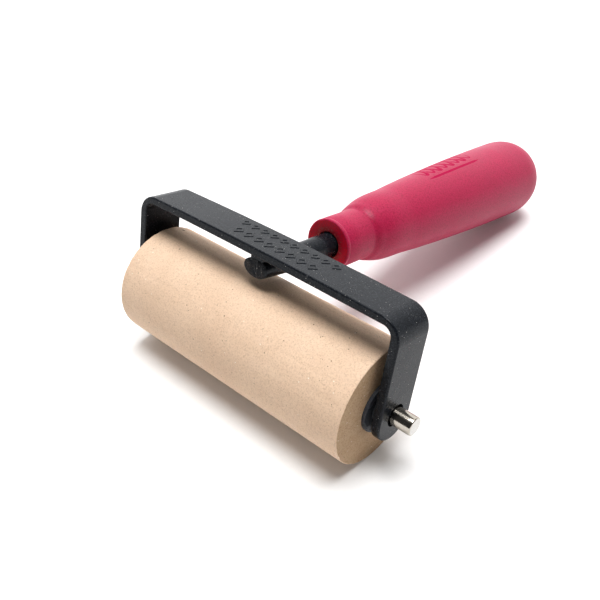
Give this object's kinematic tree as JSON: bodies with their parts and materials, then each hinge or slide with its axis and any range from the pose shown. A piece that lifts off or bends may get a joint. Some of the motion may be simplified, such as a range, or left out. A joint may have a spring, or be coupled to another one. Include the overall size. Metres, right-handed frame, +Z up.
{
  "type": "rubber brayer",
  "caption": "Hand ink roller: tan gum-rubber roller turning in a black forked plastic frame with a straight magenta plastic handle, for spreading ink on blocks.",
  "frame": {"origin": "centre of the underside of the bounding box, on the table the brayer stands on, midway between the front of the rubber and the butt of the handle", "axes": "+X along the roller's axle, +Y from the roller back to the butt of the handle, +Z up from the table"},
  "size_m": [0.1126, 0.1734, 0.0497],
  "materials": {
    "black_plastic": "satin moulded, lightly scuffed",
    "hub_plastic": "satin moulded",
    "handle_plastic": "semi-gloss magenta, through-coloured",
    "gum_rubber": "matt ground tan rubber with fine specks",
    "axle_steel": "bright polished rod"
  },
  "bodies": {
    "yoke_and_handle": {"yoke": "black_plastic", "handle": "handle_plastic"},
    "roller": {"rubber_sleeve": "gum_rubber", "core_tube": "hub_plastic", "right_hub": "hub_plastic", "left_hub": "hub_plastic", "axle": "axle_steel"}
  },
  "joints": [
    {"name": "roller_spin", "type": "hinge", "parent": "yoke_and_handle", "child": "roller", "pos_m": [0, -0.06846, 0.0182], "axis": [1, 0, 0], "continuous": true}
  ]
}
